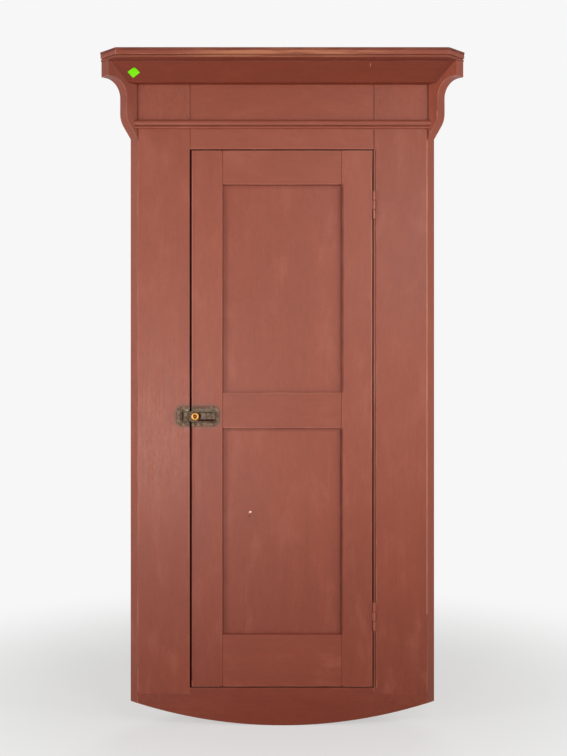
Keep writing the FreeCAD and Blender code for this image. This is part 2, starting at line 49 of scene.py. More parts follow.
# Places on the cupboard, from the boxes of its nodes
stile_low, stile_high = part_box("latch_side_stile")
face_y = stile_low.y
frame_back_y = stile_high.y
face_half = -stile_low.x
stile_bottom = stile_low.z
case_top = stile_high.z
opening_left = stile_high.x
opening_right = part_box("hinge_side_stile")[0].x
opening_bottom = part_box("apron")[1].z
opening_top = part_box("top_rail")[0].z
waist_low, waist_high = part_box("waist_moulding")
crown_low, crown_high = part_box("crown_moulding")
cornice_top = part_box("cornice_edge_front")[1].z
door_left, inner_left = (corner.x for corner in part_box("door_latch_stile"))
inner_right, door_right = (corner.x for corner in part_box("door_hinge_stile"))
lower_panel_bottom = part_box("door_bottom_rail")[1].z
lower_panel_top, upper_panel_bottom = (corner.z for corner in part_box("door_mid_rail"))
upper_panel_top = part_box("door_top_rail")[0].z
pin_low, pin_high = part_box("hinge_pins")
barrel_x = (pin_low.x + pin_high.x) / 2
plate_low, plate_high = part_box("latch_plate")
keeper_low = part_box("latch_keeper")[0]
knob_low, knob_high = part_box("latch_knob")
latch_z = (plate_low.z + plate_high.z) / 2
stem_x = (knob_low.x + knob_high.x) / 2
knob_radius = (knob_high.x - knob_low.x) / 2
knob_height = knob_high.y - knob_low.y
knob_foot = Vector((stem_x, knob_high.y, latch_z))

# Real sizes of hinges, screws and latch, and how far each screw's slot is turned past the last one's
HINGE_HEIGHT = 50.8 * MM
KNUCKLE_COUNT = 3
HINGE_SCREW_OFFSET = 15.0 * MM
HINGE_SCREW_HEAD_DEPTH = 1.5 * MM
HINGE_SCREW_SHANK_SHARE = 0.55
HINGE_SCREW_FIRST_TURN = 0.2
HINGE_SCREW_NEXT_TURN = 0.9
LATCH_SCREW_RADIUS = 2.1 * MM
LATCH_SCREW_RISE = 0.9 * MM
LATCH_SCREW_MARGIN = 3.1 * MM
LATCH_SCREW_FIRST_TURN = 0.4
LATCH_SCREW_NEXT_TURN = 1.3
LATCH_PLATE_THICKNESS = 2.0 * MM
LATCH_CORNER_RADIUS = 12.0 * MM
PLATE_SCREW_LEFT_INSET = 6 * MM
PLATE_SCREW_RIGHT_INSET = 9 * MM
KEEPER_SCREW_INSET = 9 * MM
SCREW_SIDES = 32
SLOT_WIDTH = 0.5 * MM
SLOT_DEPTH = 0.45 * MM
RIVET_RADIUS = 1.6 * MM
RIVET_SIDES = 48
KNOB_SIDES = 96
hinge_centres = (pin_low.z + HINGE_HEIGHT / 2, pin_high.z - HINGE_HEIGHT / 2)
latch_outline = (Vector((keeper_low.x, 0, plate_low.z)), plate_high, LATCH_CORNER_RADIUS)

# The blank sticker on the slope of the crown
CROWN_LIP_REACH = 15.3 * MM
STICKER_X = -0.2637
STICKER_RISE_SHARE = 0.47
STICKER_LENGTH = 16.4 * MM
STICKER_WIDTH = 14.2 * MM
STICKER_THICKNESS = 0.15 * MM
STICKER_TURN_DEGREES = 38.0
STICKER_GAP = 0.12 * MM
STICKER_RIPPLE = 0.05 * MM
STICKER_LIFT = 6 * MM
STICKER_LIFT_START = 1.35
STICKER_STEPS = 16

# Width of the rounding on edges, and the angle and length from which an edge is rounded
WOOD_EDGE = 0.8 * MM
MOULDING_EDGE = 0.3 * MM
LATCH_EDGE = 0.25 * MM
HINGE_EDGE = 0.15 * MM
RIVET_EDGE = 0.1 * MM
LATCH_SCREW_EDGE = 0.08 * MM
HINGE_SCREW_EDGE = 0.06 * MM
ROUNDED_ANGLE = math.radians(30)
SHORTEST_ROUNDED = 1.0 * MM

# Camera, solved from the photograph
PHOTO_HEIGHT = 756
FOCAL_PIXELS = 1100.0
FILM_LONG_SIDE = 36.0
CAMERA_PLACE = (0.002, -2.2693, 0.6255)

# Background: how pale it looks, how much it lights, and where the floor fades into it
PALE = 0.93
AMBIENT = 0.14
FLOOR_RADIUS = 6.0
FLOOR_DARKER = (0.86, 0.85, 0.83, 1)
FLOOR_LIGHTER = (0.90, 0.89, 0.88, 1)
FLOOR_FADE = (0.30, 1.1)
FLOOR_PALE_SHARE = 0.55

# Soft lights
Light = namedtuple("Light", "place aim width height watts")
LIGHTS = {
    "front": Light((0.45, -1.45, 1.00), (0.0, -0.29, 0.80), 0.5, 0.5, 3.7),
    "left": Light((-1.7, -1.3, 0.70), (0.0, -0.29, 0.70), 0.7, 0.9, 12),
    "right": Light((1.7, -1.1, 0.80), (0.0, -0.29, 0.80), 0.7, 0.9, 9),
    "left_gloss": Light((-0.50, -2.0, 0.45), (-0.20, -0.29, 0.50), 0.32, 0.55, 8),
    "back": Light((0.6, 2.4, 1.8), (0.0, 0.0, 0.6), 1.8, 1.8, 26)}

# Grain directions: two directions across the grain, then the one along it
half_root = math.sqrt(0.5)
GRAINS = {
    "up": ((1, 0, 0), (0, 1, 0), (0, 0, 1)),
    "across": ((0, 0, 1), (0, 1, 0), (1, 0, 0)),
    "left_return": ((0, 0, 1), (-half_root, half_root, 0), (half_root, half_root, 0)),
    "right_return": ((0, 0, 1), (half_root, half_root, 0), (-half_root, half_root, 0)),
    "left_board": ((half_root, -half_root, 0), (half_root, half_root, 0), (0, 0, 1)),
    "right_board": ((half_root, half_root, 0), (half_root, -half_root, 0), (0, 0, 1))}


def shown(red, green, blue):
    """The linear colour that a screen shows as these values from 0 to 255."""
    def linear(value):
        share = value / 255
        return share / 12.92 if share <= 0.04045 else ((share + 0.055) / 1.055) ** 2.4
    return (linear(red), linear(green), linear(blue), 1.0)


PAINT = shown(154, 80, 60)
# Painted light: a warmer copy of the paint for the right board, standing in for the light on that side
PAINT_LIT_RIGHT = shown(161, 80, 56)
# Pale paint where it is thin, also used for a painted highlight on a bracket
PAINT_PALE_AND_HIGHLIGHT = shown(178, 106, 87)
PAINT_DARK = shown(122, 56, 40)
# The darker, deeper red of painted shade
PAINT_SHADED = shown(119, 45, 20)
# Pale worn paint, also used for painted highlights and sheen
PAINT_WORN_AND_SHEEN = shown(206, 138, 116)
PAINT_ORANGE = shown(204, 130, 94)
# Dark red of dirt, and of painted shade in cracks and gaps
CREVICE_DIRT_AND_SHADE = shown(96, 32, 18)
# Dark grime, also used for painted shade and a painted shadow on the latch
GRIME_AND_SHADOW = shown(58, 22, 12)
PINE_LIGHT = shown(184, 148, 106)
PINE_DARK = shown(140, 98, 60)
PINE_AGED = shown(112, 86, 62)
KNOT = shown(74, 44, 26)
DUST = shown(170, 160, 146)
CHIP_WHITE = shown(252, 232, 214)
IRON = shown(113, 95, 77)
IRON_DARK = shown(76, 61, 48)
# A painted glint on the bolt
IRON_GLINT = shown(104, 92, 88)
# Rubbed iron, also used for a painted glint on the keeper
IRON_WORN_AND_GLINT = shown(150, 138, 124)
RUST = shown(112, 66, 42)
BRASS = shown(190, 140, 74)
BRASS_DULL = shown(134, 88, 42)
RIVET = shown(122, 68, 38)
RIVET_DULL = shown(84, 48, 28)
PAPER_GREEN = shown(126, 242, 0)

# Noise in the old paint: waves in a metre across and along the grain, detail, roughness, and how
# far it shifts the tone
Layer = namedtuple("Layer", "across along detail roughness tone")
PAINT_LAYERS = {
    "clouds": Layer(5.0, 3.0, 3.0, 0.5, 0.34),
    "patches": Layer(28.0, 12.0, 4.0, 0.6, 0.20),
    "streaks": Layer(300.0, 7.0, 4.0, 0.62, 0.26),
    "brush": Layer(1300.0, 28.0, 3.0, 0.6, 0.26),
    "mottle": Layer(110.0, 55.0, 3.0, 0.6, 0.20),
    "peel": Layer(430.0, 280.0, 2.0, 0.6, 0.22)}

# How far from a corner the darkening reaches, which in the paint is dirt and painted shade, and how far
# the darker halo spreads round the latch
PAINT_CORNER = 9 * MM
PINE_CORNER = 14 * MM
IRON_CORNER = 3 * MM
BRASS_CORNER = 2.5 * MM
HALO_REACH = 6 * MM
HALO_WANDER = 5 * MM

# An orange band is painted along the middle of the cornice's front edge, on the faces that look forward
ORANGE_FROM = -0.20
ORANGE_TO = 0.24
ORANGE_FADE = 0.12

# Painted shade: the paint turns darker and deeper red under the cornice and low down, and on these nodes
# by their shares
TOP_SHADE_LOW = 1.02
TOP_SHADE_HIGH = 1.12
TOP_SHADE_DEPTH = 0.20
LOW_SHADE_TOP = 0.62
LOW_SHADE_DEPTH = 0.74
SHADE_SHARES = {"crown_moulding": 1.0, "apron": 0.97, "door_mid_rail": 0.20, "door_lower_panel": 0.17,
        "door_upper_panel": 0.05}

# Pine: radians in a metre of its rings and saw marks, radians that the rings wander and that they
# bend round a knot, and cells in a metre that may each hold a knot
RINGS_ACROSS = 560.0
RINGS_DEEP = 200.0
RING_WANDER = 64.0
KNOT_BEND = 16.0
KNOT_CELLS = (5.0, 5.0, 3.4)
SAW_MARKS = 1900.0


class Graph:
    """Short calls that build the nodes of one tree."""

    def __init__(self, tree):
        self.tree = tree
        tree.nodes.clear()

    def put(self, kind, feeds, **settings):
        """A new node with its settings, and with its inputs fed by sockets or plain values."""
        node = self.tree.nodes.new(kind)
        for key, value in settings.items():
            setattr(node, key, value)
        for key, value in feeds.items():
            if isinstance(value, bpy.types.NodeSocket):
                self.tree.links.new(value, node.inputs[key])
            else:
                node.inputs[key].default_value = value
        return node

    def math(self, operation, *values):
        return self.put("ShaderNodeMath", dict(enumerate(values)), operation=operation).outputs[0]

    def chain(self, operation, values):
        """All the values taken together by the operation, from the first to the last."""
        return functools.reduce(functools.partial(self.math, operation), values)

    def plus(self, *values):
        return self.chain("ADD", values)

    def minus(self, value, less):
        return self.math("SUBTRACT", value, less)

    def times(self, *values):
        return self.chain("MULTIPLY", values)

    def highest(self, *values):
        return self.chain("MAXIMUM", values)

    def rest(self, share):
        """What a share leaves of the whole."""
        return self.minus(1.0, share)

    def vector_math(self, operation, *values, output="Vector"):
        node = self.put("ShaderNodeVectorMath", dict(enumerate(values)), operation=operation)
        return node.outputs[output]

    def dot(self, vector, direction):
        return self.vector_math("DOT_PRODUCT", vector, direction, output="Value")

    def length(self, vector):
        return self.vector_math("LENGTH", vector, output="Value")

    def parts(self, vector):
        """The x, y and z of a vector."""
        return self.put("ShaderNodeSeparateXYZ", {0: vector}).outputs

    def span(self, value, low, high, to_low=0.0, to_high=1.0):
        """A smooth step of the value from low to high."""
        feeds = {"Value": value, "From Min": low, "From Max": high, "To Min": to_low, "To Max": to_high}
        return self.put("ShaderNodeMapRange", feeds, interpolation_type="SMOOTHSTEP").outputs[0]

    def mix(self, share, first, second):
        return self.put("ShaderNodeMix", {0: share, 6: first, 7: second}, data_type="RGBA").outputs[2]

    def noise(self, vector, detail=2.0, roughness=0.5):
        feeds = {"Vector": vector, "Scale": 1.0, "Detail": detail, "Roughness": roughness}
        return self.put("ShaderNodeTexNoise", feeds).outputs["Fac"]

    def brighten(self, colour, factor):
        return self.put("ShaderNodeHueSaturation", {"Value": factor, "Color": colour}).outputs[0]


def new_material(name):
    material = bpy.data.materials.new(name)
    material.use_nodes = True
    return material


class Surface(Graph):
    """A material with the fields that old wood, paint and metal share, called s below."""

    def __init__(self, name, grain, seed):
        self.material = new_material(name)
        super().__init__(self.material.node_tree)
        coordinates = self.put("ShaderNodeTexCoord", {}).outputs
        self.place = coordinates["Object"]
        feeds = {i: self.dot(self.place, direction) for i, direction in enumerate(GRAINS[grain])}
        along_grain = self.put("ShaderNodeCombineXYZ", feeds).outputs[0]
        shift = (0.37 * seed, 0.61 * seed, 0.83 * seed)
        self.spot = self.vector_math("ADD", along_grain, shift)
        self.at_x, self.at_y, self.at_z = self.parts(self.place)
        self.to_x, self.to_y, self.to_z = self.parts(coordinates["Normal"])

    def field(self, across, along, **settings):
        """Noise with so many waves in a metre across and along the grain."""
        scaled = self.vector_math("MULTIPLY", self.spot, (across, across, along))
        return self.noise(scaled, **settings)

    def centred(self, value, amount):
        """The value's distance from one half, times the amount."""
        return self.times(self.minus(value, 0.5), amount)

    def open_sky(self, reach):
        """How open a place is: 1 on open faces, less in corners and cracks."""
        return self.put("ShaderNodeAmbientOcclusion", {"Distance": reach}, samples=8).outputs["AO"]

    def arris(self, radius):
        """Near 1 along edges that stick out."""
        rounded = self.put("ShaderNodeBevel", {"Radius": radius}, samples=6).outputs[0]
        flat = self.put("ShaderNodeNewGeometry", {}).outputs["True Normal"]
        return self.span(self.dot(rounded, flat), 0.995, 0.95)

    def inset(self, low, high, corner):
        """How far inside a rounded outline on the face a place is."""
        squares = []
        for value, start, end in ((self.at_x, low.x, high.x), (self.at_z, low.z, high.z)):
            offset = self.math("ABSOLUTE", self.minus(value, (start + end) / 2))
            beyond = self.highest(self.minus(offset, (end - start) / 2 - corner), 0)
            squares.append(self.math("POWER", beyond, 2))
        return self.minus(corner, self.math("SQRT", self.plus(*squares)))

    def spotted(self, mark):
        """1 inside the ragged spot of a mark."""
        offset = self.vector_math("SUBTRACT", self.place, mark.centre)
        distance = self.length(self.vector_math("DIVIDE", offset, mark.half_sizes))
        wander = self.centred(self.field(700, 700, detail=2.0), 0.9)
        return self.span(self.plus(distance, wander), 1.05, 0.8)

    def bump(self, height, strength, distance):
        feeds = {"Height": height, "Strength": strength, "Distance": distance}
        return self.put("ShaderNodeBump", feeds).outputs[0]

    def shader(self, colour, roughness, normal, **constants):
        feeds = {"Base Color": colour, "Roughness": roughness, "Normal": normal}
        feeds.update({key.replace("_", " "): value for key, value in constants.items()})
        shader = self.put("ShaderNodeBsdfPrincipled", feeds)
        self.put("ShaderNodeOutputMaterial", {"Surface": shader.outputs[0]})
        return self.material


# A small spot of another colour
Mark = namedtuple("Mark", "centre half_sizes colour")

# A straight, uneven line on the face: the axis that it follows, its place on the other axis, its
# ends, its width and its strength. A line wider than a broad painted highlight is mottled.
Line = namedtuple("Line", "axis place start end width strength")
FINE = 1.2 * MM
WIDE = 2.4 * MM
BROAD_HIGHLIGHT_WIDTH = 25 * MM


def upright(x, start, end, width, strength):
    return Line("z", x, start, end, width, strength)


def level(z, start, end, width, strength):
    return Line("x", z, start, end, width, strength)


def drawn_line(s, line):
    """The strength of a line at each place."""
    across, along = (s.at_x, s.at_z) if line.axis == "z" else (s.at_z, s.at_x)
    distance = s.math("ABSOLUTE", s.minus(across, line.place))
    uneven = s.plus(line.strength, s.centred(s.field(26.0, 26.0, detail=3.0), 1.2 * line.strength))
    if line.width > BROAD_HIGHLIGHT_WIDTH:
        mottle = s.field(330.0, 110.0, detail=3.0, roughness=0.65)
        uneven = s.plus(uneven, s.centred(mottle, 4.5 * line.strength))
    band = s.times(s.span(distance, 0.75 * line.width, 0.25 * line.width), uneven)
    return s.times(band, s.times(s.span(along, line.start - line.width, line.start + line.width),
                                 s.span(along, line.end + line.width, line.end - line.width)))


def strongest(s, lines, start=0.0):
    """The highest of the start value and the strengths of the lines, up to 1."""
    highest = s.highest(start, *(drawn_line(s, line) for line in lines))
    return s.math("MINIMUM", highest, 1.0)


def pine(s):
    """Colour and height of old bare pine, with rings, a few knots and saw marks."""
    across, depth, along = s.parts(s.spot)
    feeds = {"Vector": s.vector_math("MULTIPLY", s.spot, KNOT_CELLS), "Scale": 1.0}
    cells = s.put("ShaderNodeTexVoronoi", feeds).outputs
    chosen = s.span(s.dot(cells["Color"], (1, 0, 0)), 0.60, 0.62)
    knot = s.times(chosen, s.span(cells["Distance"], 0.060, 0.035))
    bend = s.times(chosen, s.span(cells["Distance"], 0.30, 0.03, 0.0, KNOT_BEND))
    wander = s.times(s.field(2.4, 0.6, detail=3.0), RING_WANDER)
    ring = s.plus(s.times(across, RINGS_ACROSS), s.times(depth, RINGS_DEEP), s.plus(bend, wander))
    late = s.span(s.math("SINE", ring), 0.1, 1.0)
    wide = s.span(s.math("SINE", s.times(ring, 0.19)), -0.8, 1.0)
    fine = s.field(900.0, 18.0, detail=3.0, roughness=0.6)
    aged = s.span(s.field(7.0, 3.0, detail=5.0, roughness=0.6), 0.36, 0.66)
    colour = s.mix(s.times(wide, 0.30), PINE_LIGHT, PINE_DARK)
    colour = s.mix(s.times(late, 0.34), colour, PINE_DARK)
    colour = s.mix(s.times(aged, 0.65), colour, PINE_AGED)
    colour = s.mix(s.times(knot, 0.8), colour, KNOT)
    colour = s.brighten(colour, s.plus(1.0, s.centred(fine, 0.8)))
    saw = s.times(s.math("SINE", s.times(along, SAW_MARKS)), s.span(s.field(9.0, 5.0), 0.45, 0.65))
    return colour, s.plus(s.times(fine, 0.7), s.times(saw, 0.3), s.times(late, 0.25))


def orange_strip(s):
    """How much of the orange band shows on the cornice's front edge."""
    ends = s.times(s.span(s.at_x, ORANGE_FROM, ORANGE_FROM + ORANGE_FADE),
                   s.span(s.at_x, ORANGE_TO, ORANGE_TO - ORANGE_FADE))
    torn = s.span(s.field(160.0, 9.0, detail=4.0), 0.40, 0.58)
    return s.times(ends, s.span(s.to_y, -0.2, -0.8), torn, 0.75)


def latch_halo(s, mottle):
    """How much of the darker halo lies round the latch."""
    reach = s.plus(s.inset(*latch_outline), s.centred(mottle, HALO_WANDER))
    return s.span(reach, -HALO_REACH, 0.0, 0.0, 0.55)


def painted_wood(node, grain, seed, bare):
    """Old red-brown paint on a node's wood. The bare function gives where the wood has none."""
    s = Surface("paint_" + node, grain, seed)
    layers = {name: s.field(layer.across, layer.along, detail=layer.detail, roughness=layer.roughness)
              for name, layer in PAINT_LAYERS.items()}
    tone = s.plus(*(s.centred(layers[name], layer.tone) for name, layer in PAINT_LAYERS.items()))
    _, patches, streaks, brush, mottle, peel = layers.values()
    specks = s.span(s.field(850.0, 600.0, detail=1.0), 0.68, 0.76)
    # Painted shade under the cornice, low down and on the shaded nodes
    shade_share = SHADE_SHARES.get(node, 0.0)
    painted_shade = s.highest(s.span(s.at_z, TOP_SHADE_LOW, TOP_SHADE_HIGH, 0.0, TOP_SHADE_DEPTH),
                          s.span(s.at_z, LOW_SHADE_TOP, 0.0, 0.0, LOW_SHADE_DEPTH), shade_share)
    # Painted light: the right board has a warmer copy of the paint, standing in for the light on that
    # side
    paint = PAINT_LIT_RIGHT if node == "right_wall_front_board" else PAINT
    colour = s.brighten(s.mix(painted_shade, paint, PAINT_SHADED), s.plus(1.0, tone))
    thin = s.times(s.span(patches, 0.50, 0.78), 0.25 * (1.0 - 0.85 * shade_share))
    colour = s.mix(thin, colour, PAINT_PALE_AND_HIGHLIGHT)
    colour = s.mix(s.times(s.span(streaks, 0.56, 0.75), 0.25), colour, PAINT_DARK)
    colour = s.mix(s.times(specks, 0.35), colour, PAINT_PALE_AND_HIGHLIGHT)

    sky = s.open_sky(PAINT_CORNER)
    whole = s.rest(strongest(s, HEALED.get(node, ())))
    edge = s.times(s.arris(1.7 * MM), s.span(sky, 0.55, 0.9))
    chance = s.span(s.field(70.0, 16.0, detail=3.0), 0.42, 0.60)
    wear = s.times(edge, s.plus(0.35, s.times(chance, 0.6)), whole)
    # Edge wear and rubbed lines, and broad painted highlights and sheen
    colour = s.mix(strongest(s, RUBS_AND_SHEENS.get(node, ()), wear), colour, PAINT_WORN_AND_SHEEN)
    if node == "cornice_edge_front":
        colour = s.mix(orange_strip(s), colour, PAINT_ORANGE)
    for mark in MARKS.get(node, ()):
        colour = s.mix(s.spotted(mark), colour, mark.colour)
    # A darker, iron-coloured halo round the latch
    if node in HALO_NODES:
        colour = s.mix(latch_halo(s, mottle), colour, IRON)

    height = s.plus(s.times(streaks, 0.45), s.times(brush, 0.20), s.times(patches, 0.8),
                    s.times(peel, 0.55))
    roughness = s.plus(0.44, s.centred(streaks, 0.30))
    roughness = s.minus(roughness, s.times(thin, 0.15))
    dirt_and_shade = strongest(s, SEAMS_AND_SHADE.get(node, ()))
    if bare:
        wood, ridges = pine(s)
        ragged = s.centred(s.field(45.0, 45.0, detail=4.0), 0.9)
        open_wood = s.span(s.plus(bare(s), ragged), 0.45, 0.55)
        colour = s.mix(open_wood, colour, wood)
        height = s.plus(height, s.times(open_wood, ridges))
        roughness = s.plus(roughness, s.times(open_wood, 0.35))
        dirt_and_shade = s.times(dirt_and_shade, s.rest(open_wood))

    # Darkening in deep cracks and gaps and along the dark lines: dirt, and painted shade
    darkening = s.highest(s.times(s.span(sky, 0.55, 0.10), 0.6, whole), dirt_and_shade)
    colour = s.mix(darkening, colour, CREVICE_DIRT_AND_SHADE)
    roughness = s.plus(roughness, s.times(darkening, 0.25))
    return s.shader(colour, roughness, s.bump(height, 0.35, 0.25 * MM), Specular_IOR_Level=0.35)


def bare_pine(name, grain, seed):
    """Bare pine with dust on what faces up, stains, and dirt in its corners."""
    s = Surface(name, grain, seed)
    colour, height = pine(s)
    dust = s.times(s.span(s.to_z, 0.4, 0.9), s.span(s.field(14.0, 14.0, detail=4.0), 0.35, 0.7), 0.4)
    colour = s.mix(dust, colour, DUST)
    stains = s.span(s.field(6.0, 5.0, detail=5.0, roughness=0.65), 0.55, 0.72)
    colour = s.mix(s.times(stains, 0.35), colour, PINE_AGED)
    darkening = s.span(s.open_sky(PINE_CORNER), 0.85, 0.2)
    colour = s.mix(s.times(darkening, 0.8), colour, GRIME_AND_SHADOW)
    roughness = s.plus(0.72, s.centred(s.field(200.0, 20.0), 0.2))
    return s.shader(colour, roughness, s.bump(height, 0.5, 0.3 * MM))


# The seams and shade lines carry painted shade as well as dirt, and the highlights are painted highlights
def old_iron(name, seed, paint_left, worn_and_highlight=IRON_WORN_AND_GLINT, worn_share=0.25, dirt_and_shade=GRIME_AND_SHADOW, seams_and_shade=(), highlights=(),
             marks=(), outline=None):
    """Dark iron with rust and worn edges. The higher paint_left is, the more old paint covers it.
    Paint also laps over the rim of the outline (low corner, high corner, corner radius)."""
    s = Surface(name, "across", seed)
    clouds = s.field(180.0, 180.0, detail=4.0, roughness=0.65)
    pits = s.field(1500.0, 1500.0, detail=3.0, roughness=0.6)
    flakes = s.field(230.0, 230.0, detail=5.0, roughness=0.7)
    colour = s.mix(s.span(clouds, 0.38, 0.62), IRON_DARK, IRON)
    colour = s.mix(s.times(s.span(pits, 0.55, 0.7), 0.4), colour, RUST)
    colour = s.brighten(colour, s.plus(1.0, s.centred(pits, 0.6)))

    sky = s.open_sky(IRON_CORNER)
    edge = s.times(s.arris(0.5 * MM), s.span(sky, 0.5, 0.9))
    film = s.span(flakes, 0.66 - 0.4 * paint_left, 0.72 - 0.4 * paint_left)
    if outline:
        lap = s.plus(s.inset(*outline), s.centred(clouds, 5 * MM))
        film = s.highest(film, s.span(lap, 2.6 * MM, 0.2 * MM, 0.0, 0.7))
    covered = s.times(film, s.rest(s.times(edge, worn_share)))
    paint = s.mix(0.25 if outline else 0.0, PAINT, GRIME_AND_SHADOW)
    colour = s.mix(covered, colour, s.brighten(paint, s.plus(0.95, s.centred(clouds, 0.4))))
    # Edge wear, and the painted highlights
    colour = s.mix(strongest(s, highlights, s.times(edge, worn_share)), colour, worn_and_highlight)
    # Darkening in corners and along the lines: dirt, and painted shade along the latch
    darkening = strongest(s, seams_and_shade, s.times(s.span(sky, 0.75, 0.15), 0.8))
    colour = s.mix(darkening, colour, dirt_and_shade)
    for mark in marks:
        colour = s.mix(s.spotted(mark), colour, mark.colour)

    metal = s.times(s.rest(s.highest(covered, darkening)), 0.6)
    roughness = s.plus(0.50, s.centred(pits, 0.4), s.times(darkening, 0.3))
    height = s.plus(s.times(pits, 0.6), s.times(covered, 0.5))
    return s.shader(colour, roughness, s.bump(height, 0.5, 0.12 * MM), Metallic=metal,
                    Specular_IOR_Level=0.25)


def old_brass(name, seed, bright, dull):
    """Brass that is bright where hands polish it, with tarnish in clouds and dirt in its corners."""
    s = Surface(name, "across", seed)
    clouds = s.field(260.0, 260.0, detail=4.0, roughness=0.6)
    scratches = s.field(3500.0, 500.0, detail=2.0)
    tarnish = s.times(s.span(clouds, 0.50, 0.72), 0.5)
    darkening = s.span(s.open_sky(BRASS_CORNER), 0.8, 0.2)
    colour = s.mix(s.times(darkening, 0.85), s.mix(tarnish, bright, dull), GRIME_AND_SHADOW)
    roughness = s.plus(0.36, s.centred(scratches, 0.3), s.times(tarnish, 0.3))
    return s.shader(colour, roughness, s.bump(scratches, 0.15, 0.05 * MM), Metallic=1.0)


def blank_paper(name):
    """Bright green paper, scuffed to white in places."""
    s = Surface(name, "across", 5)
    fibres = s.field(1800.0, 1200.0, detail=3.0)
    scuffs = s.span(s.field(260.0, 260.0, detail=3.0), 0.58, 0.72)
    colour = s.brighten(PAPER_GREEN, s.plus(1.0, s.centred(fibres, 0.25)))
    colour = s.mix(s.times(scuffs, 0.25), colour, CHIP_WHITE)
    return s.shader(colour, s.plus(0.5, s.centred(fibres, 0.2)), s.bump(fibres, 0.2, 0.05 * MM),
                    Specular_IOR_Level=0.15)


# Where the wood was left unpainted, and where its bare part starts and is full: past the back of
# the face frame, behind the door's face, and outside the edges of its panels
INSIDE_FADE = (-2 * MM, 10 * MM)
PANEL_BACK_FADE = (11 * MM, 13 * MM)
PANEL_EDGE_FADE = (3 * MM, 1.5 * MM)


def back_is_bare(s):
    return s.span(s.to_y, 0.3, 0.8)


def inside_is_bare(s):
    return s.span(s.at_y, *(frame_back_y + depth for depth in INSIDE_FADE))


def top_is_bare(s):
    return s.highest(s.span(s.to_z, 0.4, 0.9), inside_is_bare(s))


def lower_back_is_bare(s):
    return s.highest(back_is_bare(s), s.span(s.to_z, -0.5, -0.95))


def door_back_is_bare(s):
    """The back, and the inner edges of the door's frame behind its panels."""
    behind = s.span(s.at_y, *(face_y + depth for depth in PANEL_BACK_FADE))
    outer, inner = PANEL_EDGE_FADE
    for value, start, end in ((s.at_x, inner_left, inner_right),
                              (s.at_z, lower_panel_bottom, upper_panel_top)):
        behind = s.times(behind, s.span(value, start - outer, start - inner),
                         s.span(value, end + outer, end + inner))
    return s.highest(back_is_bare(s), behind)


# Finish of each node: its grain and where its wood is bare
PAINTED = {
    "left_wall_front_board": ("left_board", inside_is_bare),
    "right_wall_front_board": ("right_board", inside_is_bare),
    "latch_side_stile": ("up", back_is_bare),
    "hinge_side_stile": ("up", back_is_bare),
    "top_rail": ("across", back_is_bare),
    "apron": ("across", lower_back_is_bare),
    "waist_moulding": ("across", None),
    "crown_moulding": ("across", None),
    "top_board": ("across", top_is_bare),
    "cornice_edge_front": ("across", top_is_bare),
    "cornice_edge_left": ("left_return", top_is_bare),
    "cornice_edge_right": ("right_return", top_is_bare),
    "door_stop": ("up", back_is_bare),
    "door_latch_stile": ("up", door_back_is_bare),
    "door_hinge_stile": ("up", door_back_is_bare),
    "door_top_rail": ("across", door_back_is_bare),
    "door_mid_rail": ("across", door_back_is_bare),
    "door_bottom_rail": ("across", door_back_is_bare),
    "door_upper_panel": ("up", back_is_bare),
    "door_lower_panel": ("up", back_is_bare)}
BARE = {
    "left_wall_rear_board": "left_board", "right_wall_rear_board": "right_board",
    "bottom_board": "across", "shelf_lower": "across", "shelf_middle": "across",
    "shelf_upper": "across", "left_shelf_cleats": "left_board", "right_shelf_cleats": "right_board"}
PAINTED_IRON = ("frame_hinge_leaves", "door_hinge_leaves", "hinge_pins")
HALO_NODES = ("latch_side_stile", "door_latch_stile")
DOOR_RAILS = ("door_top_rail", "door_mid_rail", "door_bottom_rail")
CORNICE_EDGES = ("cornice_edge_front", "cornice_edge_left", "cornice_edge_right")


def panel_seams(bottom, top):
    """Dark lines round a panel, with the soft shade of the frame beside them."""
    return [upright(inner_right, bottom, top, 12 * MM, 0.20),
            upright(inner_left, bottom, top, WIDE, 0.18),
            upright(inner_left, bottom, top, 16 * MM, 0.20),
            level(top, inner_left, inner_right, 1.3 * WIDE, 0.65),
            level(top, inner_left, inner_right, 12 * MM, 0.22)]


# Dark lines of each node: dirt and shrinkage along its joints, and painted shade in the door's gaps,
# under the cornice and beside the panels' frames
GAP_WIDENS_AT = 0.50
PANEL_CRACK_X = -0.069
PANEL_CRACK_LENGTH = 0.14
bracket_foot = waist_low.z - 20 * MM
lower_shade = [upright(inner_right - 0.1 * MM, lower_panel_bottom, lower_panel_top, 5.2 * MM, 0.72)]
upper_shade = [upright(inner_right + 1.3 * MM, upper_panel_bottom, upper_panel_top, 5.2 * MM, 0.62)]
# Painted shade inside the door's gaps, and beside the bead on the hinge side
latch_gap = [upright(opening_left + 0.4 * MM, GAP_WIDENS_AT, opening_top, 2.6 * MM, 0.80),
             upright(opening_left + 0.4 * MM, opening_bottom, GAP_WIDENS_AT, 1.6 * MM, 0.55)]
hinge_gap = [upright(opening_right - 0.2 * MM, opening_bottom, opening_top, 1.2 * MM, 0.60),
             upright(opening_right + 1.7 * MM, 0.10, 0.58, 2.2 * MM, 0.35)]
rail_ends = [upright(x, 0.0, case_top, 1.6 * FINE, 0.45) for x in (inner_left, inner_right)]
left_corner = [upright(-face_half + 0.8 * MM, bracket_foot, crown_high.z, 1.4 * WIDE, 0.65),
               upright(-face_half, stile_bottom, bracket_foot, FINE, 0.25)]
right_corner = [upright(face_half + 0.6 * MM, bracket_foot, crown_high.z, 1.4 * WIDE, 0.75)]
